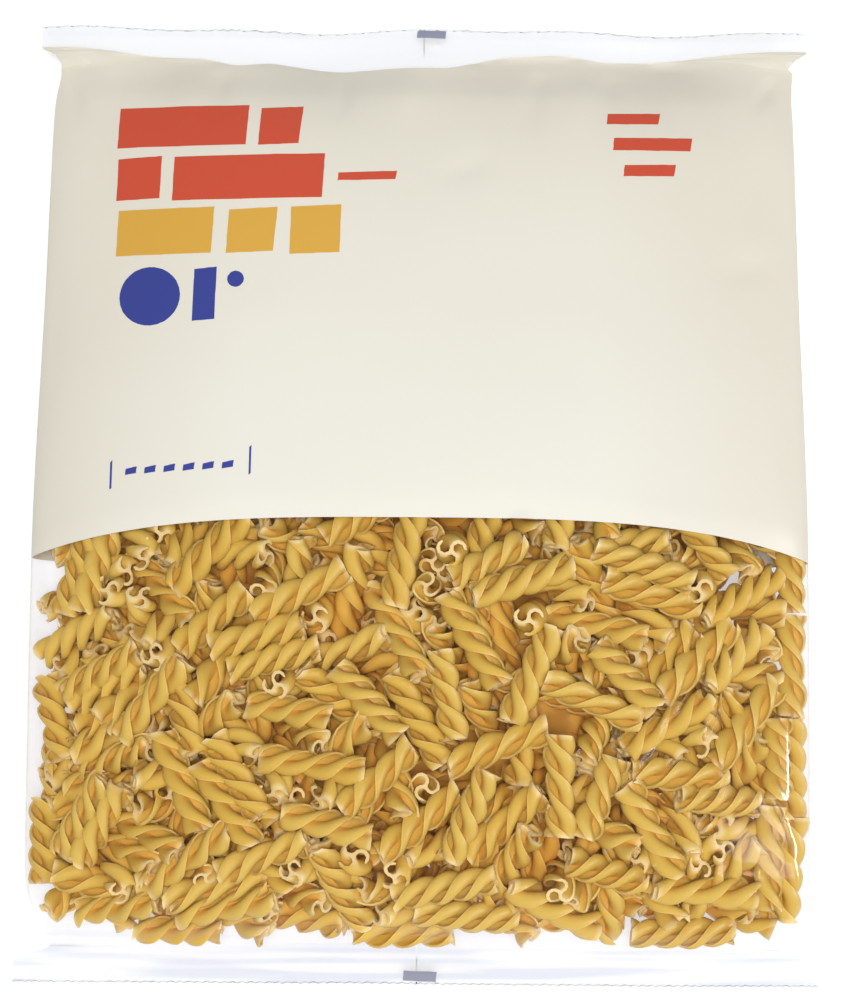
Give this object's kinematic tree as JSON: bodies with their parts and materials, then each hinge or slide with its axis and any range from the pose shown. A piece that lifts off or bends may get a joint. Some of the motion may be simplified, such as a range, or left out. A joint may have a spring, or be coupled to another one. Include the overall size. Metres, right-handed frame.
{
  "type": "pasta packet",
  "caption": "Pillow packet of dry fusilli lying on its back, with a printed upper part, a clear lower window and a flat seal at each end.",
  "frame": {"origin": "middle of the flat back, on the surface that the packet lies on", "axes": "+X across the packet, +Y from the bottom seal to the top seal, +Z out of the printed front"},
  "size_m": [0.272, 0.334, 0.0472],
  "materials": {
    "printed_film": "satin",
    "clear_film": "gloss",
    "print_red": "satin",
    "print_yellow": "satin",
    "print_blue": "satin",
    "print_grey": "satin",
    "fusilli": "matte"
  },
  "bodies": {
    "root": {"film_bag": "printed_film", "fusilli": "fusilli"}
  },
  "joints": []
}
